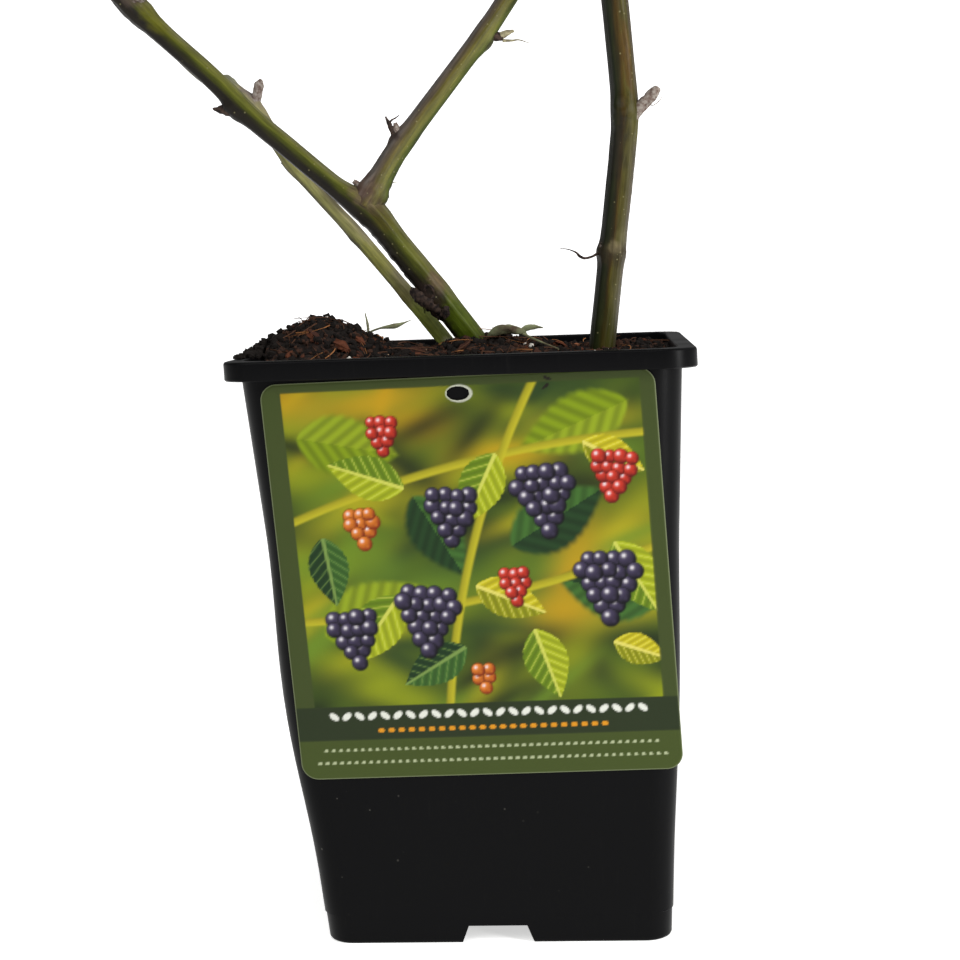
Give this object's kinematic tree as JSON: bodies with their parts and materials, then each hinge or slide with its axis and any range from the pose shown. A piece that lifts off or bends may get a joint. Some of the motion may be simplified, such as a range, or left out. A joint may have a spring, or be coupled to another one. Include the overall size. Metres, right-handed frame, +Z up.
{
  "type": "potted thornless evergreen bramble",
  "caption": "Bare thornless bramble in a tall square black nursery pot with a picture card: ridged canes lean and fork above dark compost into an open crown of twigs.",
  "frame": {"origin": "centre of the pot's flat underside", "axes": "+Z up, with the picture card on the side that faces -Y and +X to its right"},
  "size_m": [0.428, 0.2658, 0.4679],
  "materials": {
    "pot_plastic": "smooth moulded, semi-gloss",
    "compost": "damp crumbs and fibres",
    "printed_card": "printed, satin",
    "cane_bark": "smooth ridged green bark",
    "fork_bark": "smooth ridged purple and green bark",
    "rear_bark": "smooth grey-green bark",
    "right_bark": "smooth dark green bark",
    "twig_bark": "smooth green and purple bark"
  },
  "bodies": {
    "root": {"pot": "pot_plastic", "soil": "compost", "label_card": "printed_card", "cane_left": "cane_bark", "cane_left_fork": "fork_bark", "cane_rear": "rear_bark", "cane_right": "right_bark", "twigs_left": "twig_bark", "twigs_left_fork": "twig_bark", "twigs_rear": "twig_bark", "twigs_right": "twig_bark"}
  },
  "joints": []
}
